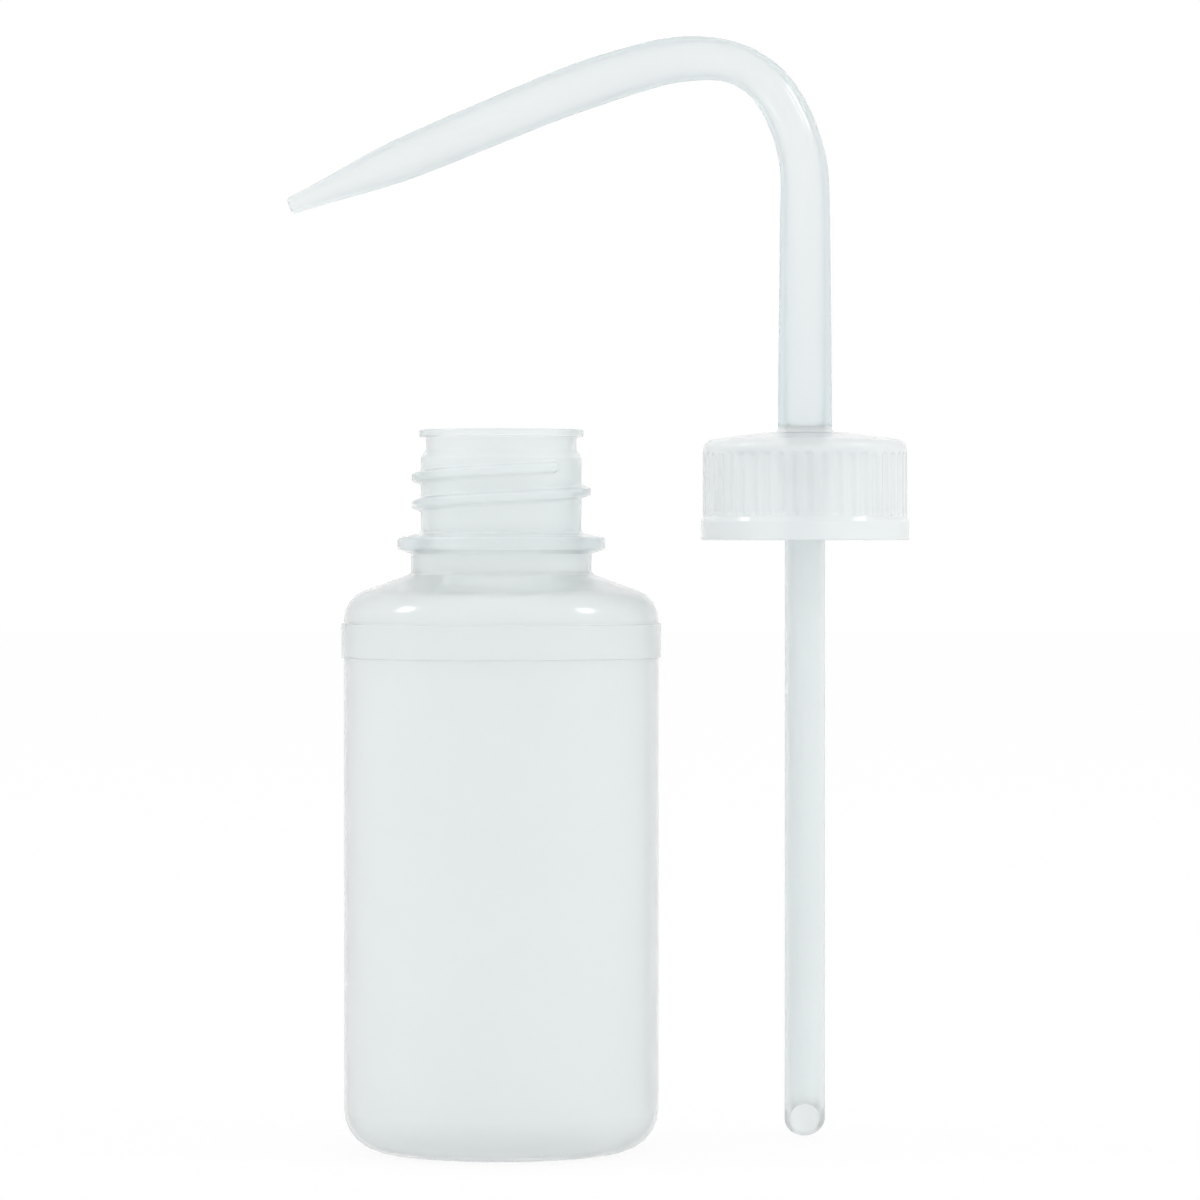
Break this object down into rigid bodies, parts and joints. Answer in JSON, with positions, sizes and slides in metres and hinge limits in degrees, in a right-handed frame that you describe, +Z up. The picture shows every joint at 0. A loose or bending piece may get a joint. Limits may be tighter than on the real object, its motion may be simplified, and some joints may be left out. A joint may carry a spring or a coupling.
{
  "type": "laboratory wash bottle with bent-spout cap",
  "caption": "Squeezable round plastic wash bottle with a screw neck, shown open beside its ribbed cap, bent dispensing spout and dip tube.",
  "frame": {"origin": "centre of the bottle's foot, on the plane that it stands on", "axes": "+Z up along the bottle's axis, +X from the bottle towards the cap that stands beside it, -Y towards the viewer; the spout points along -X"},
  "size_m": [0.1205, 0.0692, 0.2138],
  "materials": {
    "bottle_plastic": "milky translucent low-density polyethylene, blown, satin",
    "cap_plastic": "milky translucent low-density polyethylene, moulded, satin with fine grip flutes",
    "tube_plastic": "milky translucent low-density polyethylene, extruded, smooth"
  },
  "bodies": {
    "root": {"bottle": "bottle_plastic", "spout_cap": "cap_plastic", "dip_tube": "tube_plastic"}
  },
  "joints": []
}
